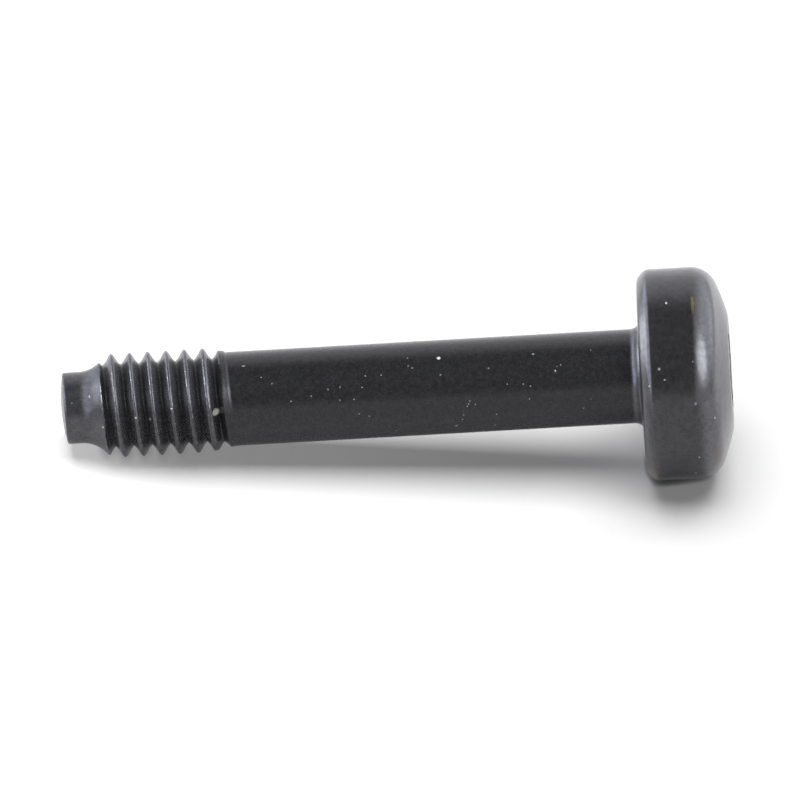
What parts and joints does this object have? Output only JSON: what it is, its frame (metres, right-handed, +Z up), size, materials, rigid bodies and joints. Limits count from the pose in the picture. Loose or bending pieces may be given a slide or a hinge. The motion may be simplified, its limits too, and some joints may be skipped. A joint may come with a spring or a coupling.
{
  "type": "hexalobular pan head screw",
  "caption": "Black steel machine screw with a domed pan head, hexalobular recess, plain shank, short right-hand thread and a dog point, lying at rest.",
  "frame": {"origin": "on the floor, under the middle of the lying screw's bounding box", "axes": "+X from the point to the head, level; +Z up. The screw's own axis rises to the head, because it lies on the rim of its head and on its first full thread crest"},
  "size_m": [0.0258, 0.008, 0.0082],
  "materials": {
    "black_steel": "black oxide, semi-gloss, lightly oiled"
  },
  "bodies": {
    "root": {"screw": "black_steel"}
  },
  "joints": []
}
